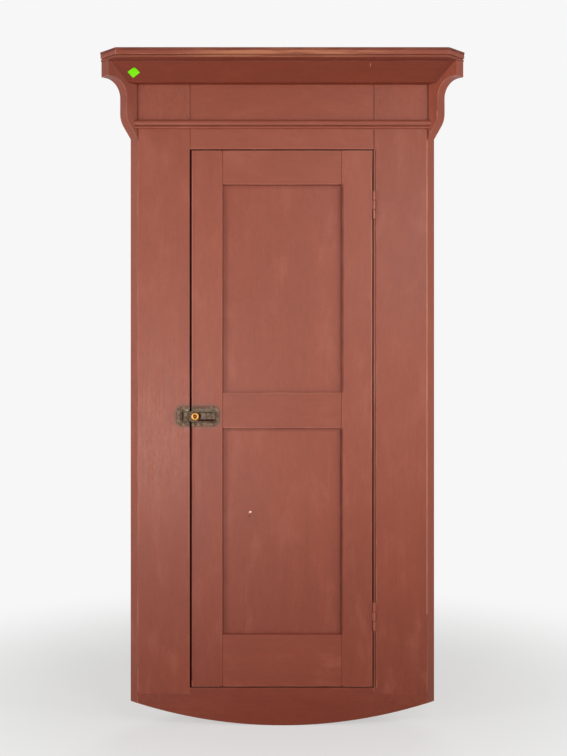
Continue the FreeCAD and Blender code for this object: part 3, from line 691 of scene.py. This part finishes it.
# Painted shade under the cornice, and a dark band along the top of the cornice's edges
cornice_shade = [level(crown_high.z, -1.0, 1.0, 4.0 * MM, 0.42)]
cornice_band_and_shade = [level(cornice_top - 2.8 * MM, -1.0, 1.0, 4.6 * MM, 0.62)] + cornice_shade
left_joint = [upright(opening_left + 0.6 * MM, waist_high.z, case_top, WIDE, 0.50),
              upright(opening_left + 0.6 * MM, opening_top, waist_low.z, WIDE, 0.40)]
right_joint = [upright(opening_right + 0.9 * MM, waist_high.z, case_top, WIDE, 0.60),
               upright(opening_right + 0.9 * MM, opening_top, waist_low.z, WIDE, 0.75)]
panel_crack = [upright(PANEL_CRACK_X, lower_panel_bottom, lower_panel_bottom + PANEL_CRACK_LENGTH,
                       FINE, 0.30)]
apron_seams = [level(stile_bottom, -face_half, opening_left, WIDE, 0.16),
               level(opening_bottom, opening_left, opening_right, 2.2 * MM, 0.55),
               upright(opening_left, stile_bottom, opening_bottom, FINE, 0.5)]
latch_stile_seams = [upright(door_left + 4.6 * MM, 0.0, case_top, FINE, 0.28),
                     upright(door_left + 0.5 * MM, 0.08, latch_z, 2.0 * MM, 0.75)]
SEAMS_AND_SHADE = {
    "top_rail": left_joint + right_joint,
    "latch_side_stile": left_corner + left_joint + latch_gap,
    "left_wall_front_board": left_corner,
    "hinge_side_stile": right_corner + right_joint + hinge_gap,
    "right_wall_front_board": right_corner,
    "apron": apron_seams,
    "door_latch_stile": latch_stile_seams,
    "door_hinge_stile": lower_shade + upper_shade,
    "door_lower_panel": panel_seams(lower_panel_bottom, lower_panel_top) + lower_shade + panel_crack,
    "door_upper_panel": panel_seams(upper_panel_bottom, upper_panel_top) + upper_shade,
    "top_board": cornice_shade,
    "crown_moulding": cornice_shade,
    **dict.fromkeys(DOOR_RAILS, rail_ends),
    **dict.fromkeys(CORNICE_EDGES, cornice_band_and_shade)}


# A broad painted highlight across the frieze
def frieze_light(start, end):
    return level(1.135, start, end, 110 * MM, 0.055)


# Light lines where the paint is rubbed thin along the arrises, and broad painted highlights and sheen on
# the faces
rubbed_top = waist_low.z - 28 * MM
RUBS_AND_SHEENS = {
    "latch_side_stile": [upright(opening_left - 2.4 * MM, 0.30, 0.56, WIDE, 0.10),
                         upright(-0.218, 0.42, 0.60, 90 * MM, 0.12),
                         upright(-0.240, 0.95, 1.07, 90 * MM, 0.035), frieze_light(-0.40, -0.05)],
    "left_wall_front_board": [upright(-face_half - 8 * MM, 0.55, 1.06, 30 * MM, 0.05)],
    "apron": [level(0.03, -0.45, -0.15, 110 * MM, 0.035), level(0.03, 0.15, 0.45, 110 * MM, 0.045)],
    "top_rail": [frieze_light(-0.60, -0.15), frieze_light(0.15, 0.60)],
    "hinge_side_stile": [upright(face_half - 0.8 * MM, 0.20, rubbed_top, WIDE, 0.36),
                         frieze_light(0.05, 0.40)],
    "right_wall_front_board": [upright(face_half, 0.20, rubbed_top, 0.6 * WIDE, 0.3)],
    "door_hinge_stile": [upright(door_right - 1.2 * MM, 0.50, 1.0, WIDE, 0.28)],
    "door_latch_stile": [upright(inner_left - 1.0 * MM, 0.10, 1.0, FINE, 0.06),
                         upright(door_left + 1.2 * MM, 0.10, 1.0, FINE, 0.20)],
    "door_mid_rail": [level(upper_panel_bottom - 1.0 * MM, inner_left, inner_right, FINE, 0.10)]}

# Joints that the paint fills, so that they show no edge
left_foot = [level(stile_bottom, -face_half - 0.1, opening_left - 2 * MM, 8 * MM, 1.2)]
right_foot = [level(stile_bottom, opening_right - 4 * MM, face_half + 0.1, 8 * MM, 2.5),
              upright(face_half, 0.0, 0.22, 8 * MM, 0.8)]
latch_edge = [upright(opening_left, opening_bottom, opening_top, 3 * MM, 1.5)]
hinge_edge = [upright(opening_right, opening_bottom, opening_top, 3 * MM, 1.5)]
rail_joints = [upright(x, 0.0, case_top, 8 * MM, 1.2) for x in (inner_left, inner_right)]
lower_ledge = [level(lower_panel_bottom, inner_left, inner_right, 8 * MM, 2.0)]
HEALED = {
    "apron": left_foot + right_foot,
    "latch_side_stile": left_foot + latch_edge,
    "hinge_side_stile": right_foot + hinge_edge,
    "right_wall_front_board": right_foot,
    **dict.fromkeys(("door_latch_stile", "door_hinge_stile", *DOOR_RAILS), rail_joints),
    "door_bottom_rail": rail_joints + lower_ledge,
    "door_lower_panel": lower_ledge}

# Small marks on the paint: a chip in the lower panel, a scuff on the crown, and a painted highlight on a
# bracket
PANEL_RECESS = 7 * MM
panel_y = face_y + PANEL_RECESS
chip = [Mark((-0.0595, panel_y, 0.3760), (3.4 * MM, 4 * MM, 2.0 * MM), PAINT_DARK),
        Mark((-0.0600, panel_y, 0.3822), (1.5 * MM, 4 * MM, 1.4 * MM), PAINT_WORN_AND_SHEEN),
        Mark((-0.0580, panel_y, 0.3838), (2.4 * MM, 4 * MM, 1.8 * MM), CHIP_WHITE)]
crown_scuff = [Mark((0.1556, face_y - 36 * MM, 1.1790), (0.9 * MM, 9 * MM, 3.2 * MM), PAINT_PALE_AND_HIGHLIGHT)]
bracket_highlight = [Mark((0.2765, face_y - 15 * MM, 1.0975), (1.6 * MM, 6 * MM, 6 * MM), PAINT_PALE_AND_HIGHLIGHT)]
MARKS = {"door_lower_panel": chip, "crown_moulding": crown_scuff, "right_wall_front_board": bracket_highlight}

# Dark joints between the hinges' knuckles, and a painted highlight down each barrel
knuckle_joints = [level(centre + side * HINGE_HEIGHT / KNUCKLE_COUNT / 2, barrel_x - 4 * MM,
                        barrel_x + 4 * MM, 1.2 * MM, 0.9)
                  for centre in hinge_centres for side in (-1, 1)]
barrel_highlight = [upright(barrel_x - 0.5 * MM, centre - 24 * MM, centre + 24 * MM, 2.0 * MM, strength)
                for centre, strength in zip(hinge_centres, (0.15, 0.55))]

# Painted shade along the bolt and by the keeper's bridge, a painted highlight on the guide, a painted
# shadow by the knob's stem, and painted glints
bolt_shade = [level(latch_z - 7.2 * MM, stem_x + 5 * MM, plate_high.x - 7 * MM, 3.4 * MM, 1.5),
              level(latch_z + 7.2 * MM, stem_x + 7 * MM, plate_high.x - 8 * MM, 1.6 * MM, 0.5),
              upright(plate_low.x - 5.6 * MM, latch_z - 8 * MM, latch_z + 8 * MM, 5.2 * MM, 0.40)]
keeper_shade = bolt_shade + [upright(keeper_low.x + 10 * MM, latch_z - 9 * MM, latch_z + 9 * MM,
                                     4.4 * MM, 0.50)]
guide_highlight = [level(latch_z + 10.6 * MM, plate_low.x + 2 * MM, plate_high.x - 10 * MM, 2.2 * MM, 0.5)]
stem_shadow = Mark((stem_x + 8.2 * MM, face_y - 6 * MM, latch_z + 0.4 * MM),
                   (2.4 * MM, 9 * MM, 6.0 * MM), GRIME_AND_SHADOW)
bolt_glint = Mark((stem_x + 12.6 * MM, face_y - 6 * MM, latch_z), (2.6 * MM, 9 * MM, 3.6 * MM),
                  IRON_GLINT)
corner_glint = Mark((plate_low.x - 8 * MM, face_y - 3 * MM, latch_z + 10.8 * MM),
                    (2.6 * MM, 9 * MM, 1.2 * MM), IRON_WORN_AND_GLINT)


def geometry_graph(name):
    """A geometry node tree and the mesh that comes into it."""
    tree = bpy.data.node_groups.new(name, "GeometryNodeTree")
    for way in ("INPUT", "OUTPUT"):
        tree.interface.new_socket("Geometry", in_out=way, socket_type="NodeSocketGeometry")
    g = Graph(tree)
    return g, g.put("NodeGroupInput", {}).outputs[0]


def edge_marking():
    """Joins the split corners of a node's mesh and marks the edges that get rounded."""
    g, mesh = geometry_graph("edge_marking")
    plain = g.put("GeometryNodeRemoveAttribute", {"Geometry": mesh, "Name": "custom_normal"})
    joined = g.put("GeometryNodeMergeByDistance", {"Geometry": plain.outputs[0],
                                                   "Distance": 0.001 * MM})
    angle = g.put("GeometryNodeInputMeshEdgeAngle", {}).outputs["Unsigned Angle"]
    ends = g.put("GeometryNodeInputMeshEdgeVertices", {}).outputs
    length = g.vector_math("DISTANCE", ends["Position 1"], ends["Position 2"], output="Value")
    sharp = g.put("FunctionNodeCompare", {0: angle, 1: ROUNDED_ANGLE}).outputs[0]
    long = g.put("FunctionNodeCompare", {0: length, 1: SHORTEST_ROUNDED}).outputs[0]
    both = g.put("FunctionNodeBooleanMath", {0: sharp, 1: long}).outputs[0]
    store = g.put("GeometryNodeStoreNamedAttribute",
                  {"Geometry": joined.outputs[0], "Name": "bevel_weight_edge", "Value": both},
                  domain="EDGE")
    g.put("NodeGroupOutput", {0: store.outputs[0]})
    return g.tree


def smooth_shading():
    g, mesh = geometry_graph("smooth_shading")
    shaded = g.put("GeometryNodeSetShadeSmooth", {"Geometry": mesh})
    g.put("NodeGroupOutput", {0: shaded.outputs[0]})
    return g.tree


edge_marks = edge_marking()
smooth = smooth_shading()


def soften(piece, width):
    """Rounds the edges of a piece by the width and keeps its flat faces flat."""
    piece.modifiers.new("edge_marks", "NODES").node_group = edge_marks
    bevel = piece.modifiers.new("round_edges", "BEVEL")
    bevel.limit_method = "WEIGHT"
    bevel.width = width
    bevel.segments = 3
    piece.modifiers.new("smooth", "NODES").node_group = smooth
    piece.modifiers.new("flat_faces", "WEIGHTED_NORMAL").keep_sharp = False


def dress(node, material, width):
    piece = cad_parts[node]
    for slot in piece.material_slots:
        slot.material = material
    soften(piece, width)


def dress_wood():
    for seed, (node, (grain, bare)) in enumerate(PAINTED.items(), start=1):
        width = MOULDING_EDGE if node in (*CORNICE_EDGES, "waist_moulding") else WOOD_EDGE
        dress(node, painted_wood(node, grain, seed, bare), width)
    for seed, (node, grain) in enumerate(BARE.items(), start=31):
        dress(node, bare_pine("pine_" + node, grain, seed), WOOD_EDGE)


def dress_iron():
    for seed, node in enumerate(PAINTED_IRON, start=51):
        material = old_iron("iron_" + node, seed, 1.3, worn_and_highlight=PAINT_WORN_AND_SHEEN, worn_share=0.3, dirt_and_shade=CREVICE_DIRT_AND_SHADE,
                            seams_and_shade=knuckle_joints, highlights=barrel_highlight)
        dress(node, material, HINGE_EDGE)
    dress("latch_keeper", old_iron("iron_latch_keeper", 61, 0.05, seams_and_shade=keeper_shade,
                                   outline=latch_outline, marks=(corner_glint,)), LATCH_EDGE)
    dress("latch_plate", old_iron("iron_latch_plate", 62, 0.05, seams_and_shade=bolt_shade, highlights=guide_highlight,
                                  outline=latch_outline), LATCH_EDGE)
    dress("latch_bolt", old_iron("iron_latch_bolt", 63, 0.0, seams_and_shade=bolt_shade,
                                 marks=(stem_shadow, bolt_glint)), LATCH_EDGE)


def new_object(name, mesh_maker):
    """An object in the scene, with the mesh that the maker builds."""
    mesh = bpy.data.meshes.new(name)
    shape = bmesh.new()
    mesh_maker(shape)
    shape.to_mesh(mesh)
    shape.free()
    piece = bpy.data.objects.new(name, mesh)
    bpy.context.scene.collection.objects.link(piece)
    return piece


def new_piece(name, mesh_maker, material, body):
    """A new piece of the model that rides on a body."""
    def closed_mesh(shape):
        mesh_maker(shape)
        bmesh.ops.recalc_face_normals(shape, faces=shape.faces)

    piece = new_object(name, closed_mesh)
    piece.data.materials.append(material)
    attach(piece, body)
    return piece


CURVE_STEPS = 4
OUTWARD = Vector((0, -1, 0))
TOUCHING = 1e-7


def curve_through(points):
    """More points on a smooth line through the points."""
    line = [Vector(p) for p in [points[0]] + list(points) + [points[-1]]]
    result = []
    for i in range(1, len(line) - 2):
        a, b, c, d = line[i - 1:i + 3]
        for step in range(CURVE_STEPS):
            t = step / CURVE_STEPS
            result.append(0.5 * (2 * b + (c - a) * t + (2 * a - 5 * b + 4 * c - d) * t ** 2
                                 + (3 * b - a - 3 * c + d) * t ** 3))
    return [tuple(p) for p in result + [line[-2]]]


def turned(outline, centre, way, sides):
    """The maker of a turned form: the outline's (radius, rise) points go round the way through the
    centre. An outline that ends where it starts closes the form, and so does one whose ends are
    both on the axis."""
    turn = Vector((0, 0, 1)).rotation_difference(way).to_matrix()
    closed = (Vector(outline[0]) - Vector(outline[-1])).length < TOUCHING
    line = outline[:-1] if closed else outline
    angles = [2 * math.pi * i / sides for i in range(sides)]

    def turned_mesh(shape):
        rings = []
        for radius, rise in line:
            points = [(radius * math.cos(a), radius * math.sin(a), rise) for a in angles]
            if radius < TOUCHING:
                points = [(0, 0, rise)]
            rings.append([shape.verts.new(centre + turn @ Vector(point)) for point in points])
        for low, high in zip(rings, rings[1:] + (rings[:1] if closed else [])):
            for i in range(sides):
                corners = [low[i % len(low)], low[(i + 1) % len(low)],
                           high[(i + 1) % len(high)], high[i % len(high)]]
                shape.faces.new(list(dict.fromkeys(corners)))

    return turned_mesh


def cut_slot(piece, centre, way, across, reach):
    """Cuts a driver slot into the head whose top is at the centre."""
    def slot_box(shape):
        bmesh.ops.create_cube(shape, size=1.0)
        turn = Matrix((across, way.cross(across), way)).transposed().to_4x4()
        size = Matrix.Diagonal((2 * reach, SLOT_WIDTH, 2 * SLOT_DEPTH, 1))
        bmesh.ops.transform(shape, matrix=Matrix.Translation(centre) @ turn @ size, verts=shape.verts)

    cutter = new_object("slot_cutter", slot_box)
    piece.modifiers.new("slot", "BOOLEAN").object = cutter
    seen = piece.evaluated_get(bpy.context.evaluated_depsgraph_get())
    cut = bpy.data.meshes.new_from_object(seen)
    piece.modifiers.clear()
    piece.data = cut
    cutter_mesh = cutter.data
    bpy.data.objects.remove(cutter)
    bpy.data.meshes.remove(cutter_mesh)


def join_pieces(pieces, name):
    """One piece from several, which keeps the first one's body and slot."""
    shape = bmesh.new()
    for piece in pieces:
        shape.from_mesh(piece.data)
    shape.to_mesh(pieces[0].data)
    shape.free()
    for piece in pieces[1:]:
        bpy.data.objects.remove(piece)
    pieces[0].name = name
    return pieces[0]


def round_head_screw(name, place, angle, body, material):
    """The domed, slotted head of a screw that stands on the face of a plate."""
    shares = [(1.0, 0), (0.97, 0.45), (0.62, 0.9), (0, 1.0)]
    outline = [(0, 0)] + curve_through([(LATCH_SCREW_RADIUS * across, LATCH_SCREW_RISE * up)
                                        for across, up in shares])
    piece = new_piece(name, turned(outline, place, OUTWARD, SCREW_SIDES), material, body)
    across = Vector((math.cos(angle), 0, math.sin(angle)))
    cut_slot(piece, place + OUTWARD * LATCH_SCREW_RISE, OUTWARD, across, 2 * LATCH_SCREW_RADIUS)
    return piece


def latch_screws():
    """Two pairs of screw heads on the latch's plate, and one pair on its keeper."""
    material = old_iron("iron_screw_heads", 81, 0.35)
    plate_face = plate_high.y - LATCH_PLATE_THICKNESS
    rise = plate_high.z - latch_z - LATCH_SCREW_MARGIN
    plate_columns = (plate_low.x + PLATE_SCREW_LEFT_INSET, plate_high.x - PLATE_SCREW_RIGHT_INSET)
    spots = {"latch_plate_screw_heads": ("door", plate_columns),
             "keeper_screw_heads": ("case", (keeper_low.x + KEEPER_SCREW_INSET,))}
    turn = LATCH_SCREW_FIRST_TURN
    for name, (body, columns) in spots.items():
        heads = []
        for x in columns:
            for side in (-1, 1):
                place = Vector((x, plate_face, latch_z + side * rise))
                heads.append(round_head_screw(name, place, turn, body, material))
                turn += LATCH_SCREW_NEXT_TURN
        soften(join_pieces(heads, name), LATCH_SCREW_EDGE)


def hinge_screws():
    """Countersunk, slotted screws in both leaves of each hinge, in place of the plain ones."""
    material = old_iron("iron_hinge_screws", 82, 0.5)
    turn = HINGE_SCREW_FIRST_TURN
    for node, body, side in (("frame_hinge_screws", "case", 1), ("door_hinge_screws", "door", -1)):
        low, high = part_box(node)
        head_x = low.x if side > 0 else high.x
        way = Vector((-side, 0, 0))
        radius = (high.y - low.y) / 2
        shank = HINGE_SCREW_SHANK_SHARE * radius
        length = high.x - low.x
        outline = [(0, -length), (0.25 * radius, -length), (shank, -0.7 * length),
                   (shank, -HINGE_SCREW_HEAD_DEPTH), (0.96 * radius, -0.02 * length),
                   (0.96 * radius, 0), (0, 0)]
        screws = []
        for centre in hinge_centres:
            for offset in (-HINGE_SCREW_OFFSET, HINGE_SCREW_OFFSET):
                place = Vector((head_x, (low.y + high.y) / 2, centre + offset))
                piece = new_piece(node + "_slotted", turned(outline, place, way, SCREW_SIDES), material,
                                  body)
                cut_slot(piece, place, way, Vector((0, math.cos(turn), math.sin(turn))), 2 * radius)
                screws.append(piece)
                turn += HINGE_SCREW_NEXT_TURN
        group = join_pieces(screws, node + "_slotted")
        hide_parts(node)
        soften(group, HINGE_SCREW_EDGE)


def ring_knob():
    """A turned ring knob with a waisted stem, a rounded rim and a dished middle."""
    shares = [(0.42, 0.0), (0.43, 0.06), (0.37, 0.16), (0.35, 0.30), (0.42, 0.42), (0.66, 0.49),
              (0.92, 0.56), (1.0, 0.70), (0.98, 0.84), (0.85, 0.96), (0.66, 1.0), (0.50, 0.95),
              (0.40, 0.86), (0.37, 0.78)]
    line = [(across * knob_radius, up * knob_height) for across, up in curve_through(shares)]
    seat = shares[-1][1] * knob_height
    outline = [(RIVET_RADIUS, 0)] + line + [(RIVET_RADIUS, seat), (RIVET_RADIUS, 0)]
    knob = new_piece("ring_knob", turned(outline, knob_foot, OUTWARD, KNOB_SIDES),
                     old_brass("brass_knob", 71, BRASS, BRASS_DULL), "latch_bolt")
    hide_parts("latch_knob")
    knob.modifiers.new("smooth", "NODES").node_group = smooth


def peened_rivet():
    """The rivet through the knob and the bolt, its head hammered down into the knob's dish."""
    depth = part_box("knob_rivet")[1].y - knob_high.y
    shares = [(0.365, 0.79), (0.35, 0.83), (0.23, 0.87), (0, 0.885)]
    head = curve_through([(across * knob_radius, up * knob_height) for across, up in shares])
    outline = [(0, -depth), (RIVET_RADIUS, -depth), (RIVET_RADIUS, head[0][1])] + head
    rivet = new_piece("peened_rivet", turned(outline, knob_foot, OUTWARD, RIVET_SIDES),
                      old_brass("dark_rivet", 73, RIVET, RIVET_DULL), "latch_bolt")
    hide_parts("knob_rivet")
    soften(rivet, RIVET_EDGE)


def blank_sticker():
    """A small square of coloured paper stuck on the slope of the crown, one corner lifting."""
    slope_foot = Vector((STICKER_X, face_y - CROWN_LIP_REACH, crown_low.z))
    slope_head = Vector((STICKER_X, crown_low.y, crown_high.z))
    middle = slope_foot.lerp(slope_head, STICKER_RISE_SHARE)
    right = Vector((1, 0, 0))
    up = (slope_head - slope_foot).normalized()
    out = right.cross(up)
    turn = math.radians(STICKER_TURN_DEGREES)
    first = right * math.cos(turn) + up * math.sin(turn)
    second = up * math.cos(turn) - right * math.sin(turn)
    steps = STICKER_STEPS

    def lift(a, b):
        corner = max(0.0, a + b - STICKER_LIFT_START)
        return STICKER_GAP + STICKER_LIFT * corner ** 2 + STICKER_RIPPLE * math.sin(9 * a + 4 * b)

    def place(i, j, extra):
        a, b = i / steps, j / steps
        flat = first * (a - 0.5) * STICKER_LENGTH + second * (b - 0.5) * STICKER_WIDTH
        return middle + flat + out * (lift(a, b) + extra)

    def sheet_mesh(shape):
        under, over = ([[shape.verts.new(place(i, j, extra)) for j in range(steps + 1)]
                        for i in range(steps + 1)] for extra in (0.0, STICKER_THICKNESS))
        for rows in (under, over):
            for i in range(steps):
                for j in range(steps):
                    shape.faces.new((rows[i][j], rows[i + 1][j], rows[i + 1][j + 1], rows[i][j + 1]))
        rim = ([(i, 0) for i in range(steps)] + [(steps, j) for j in range(steps)]
               + [(i, steps) for i in range(steps, 0, -1)] + [(0, j) for j in range(steps, 0, -1)])
        for (i, j), (k, m) in zip(rim, rim[1:] + rim[:1]):
            shape.faces.new((under[i][j], under[k][m], over[k][m], over[i][j]))

    new_piece("blank_sticker", sheet_mesh, blank_paper("green_paper"), "case")


def camera():
    lens = bpy.data.cameras.new("camera")
    lens.sensor_width = FILM_LONG_SIDE
    lens.lens = FOCAL_PIXELS * FILM_LONG_SIDE / PHOTO_HEIGHT
    view = bpy.data.objects.new("camera", lens)
    view.location = CAMERA_PLACE
    view.rotation_euler = (math.radians(90), 0, 0)
    bpy.context.scene.collection.objects.link(view)
    bpy.context.scene.camera = view


def seen_rays(g):
    """1 for rays that show the background: camera, glossy and transmission rays."""
    path = g.put("ShaderNodeLightPath", {}).outputs
    return g.highest(path["Is Camera Ray"], path["Is Glossy Ray"], path["Is Transmission Ray"])


def floor():
    """A pale disc that keeps the object's shadow and fades into the background."""
    def disc(shape):
        bmesh.ops.create_circle(shape, cap_ends=True, segments=96, radius=FLOOR_RADIUS)

    material = new_material("pale_floor")
    g = Graph(material.node_tree)
    place = g.put("ShaderNodeTexCoord", {}).outputs["Object"]
    grain = g.noise(g.vector_math("MULTIPLY", place, (40, 40, 40)), detail=4.0)
    near = g.put("ShaderNodeBsdfDiffuse", {"Color": g.mix(grain, FLOOR_DARKER, FLOOR_LIGHTER)})
    far = g.put("ShaderNodeEmission", {"Color": (PALE, PALE, PALE, 1)})
    share = g.times(g.span(g.length(place), *FLOOR_FADE, FLOOR_PALE_SHARE, 1.0), seen_rays(g))
    shader = g.put("ShaderNodeMixShader", {0: share, 1: near.outputs[0], 2: far.outputs[0]})
    g.put("ShaderNodeOutputMaterial", {"Surface": shader.outputs[0]})
    piece = new_object("floor", disc)
    piece.data.materials.append(material)


def pale_world():
    """A world that looks pale and lights the object only a little."""
    world = bpy.data.worlds.new("pale")
    world.use_nodes = True
    bpy.context.scene.world = world
    g = Graph(world.node_tree)
    feeds = {"Value": seen_rays(g), "To Min": AMBIENT, "To Max": PALE}
    strength = g.put("ShaderNodeMapRange", feeds).outputs[0]
    background = g.put("ShaderNodeBackground", {"Color": (1, 1, 1, 1), "Strength": strength})
    g.put("ShaderNodeOutputWorld", {"Surface": background.outputs[0]})


def soft_light(name, light):
    data = bpy.data.lights.new(name, "AREA")
    data.shape = "RECTANGLE"
    data.size = light.width
    data.size_y = light.height
    data.energy = light.watts
    lamp = bpy.data.objects.new(name, data)
    lamp.location = light.place
    way = Vector(light.aim) - Vector(light.place)
    lamp.rotation_euler = way.to_track_quat("-Z", "Y").to_euler()
    lamp.visible_camera = False
    bpy.context.scene.collection.objects.link(lamp)


dress_wood()
dress_iron()
latch_screws()
hinge_screws()
ring_knob()
peened_rivet()
blank_sticker()
camera()
floor()
pale_world()
for name, light in LIGHTS.items():
    soft_light(name, light)
bpy.context.scene.view_settings.view_transform = "Standard"
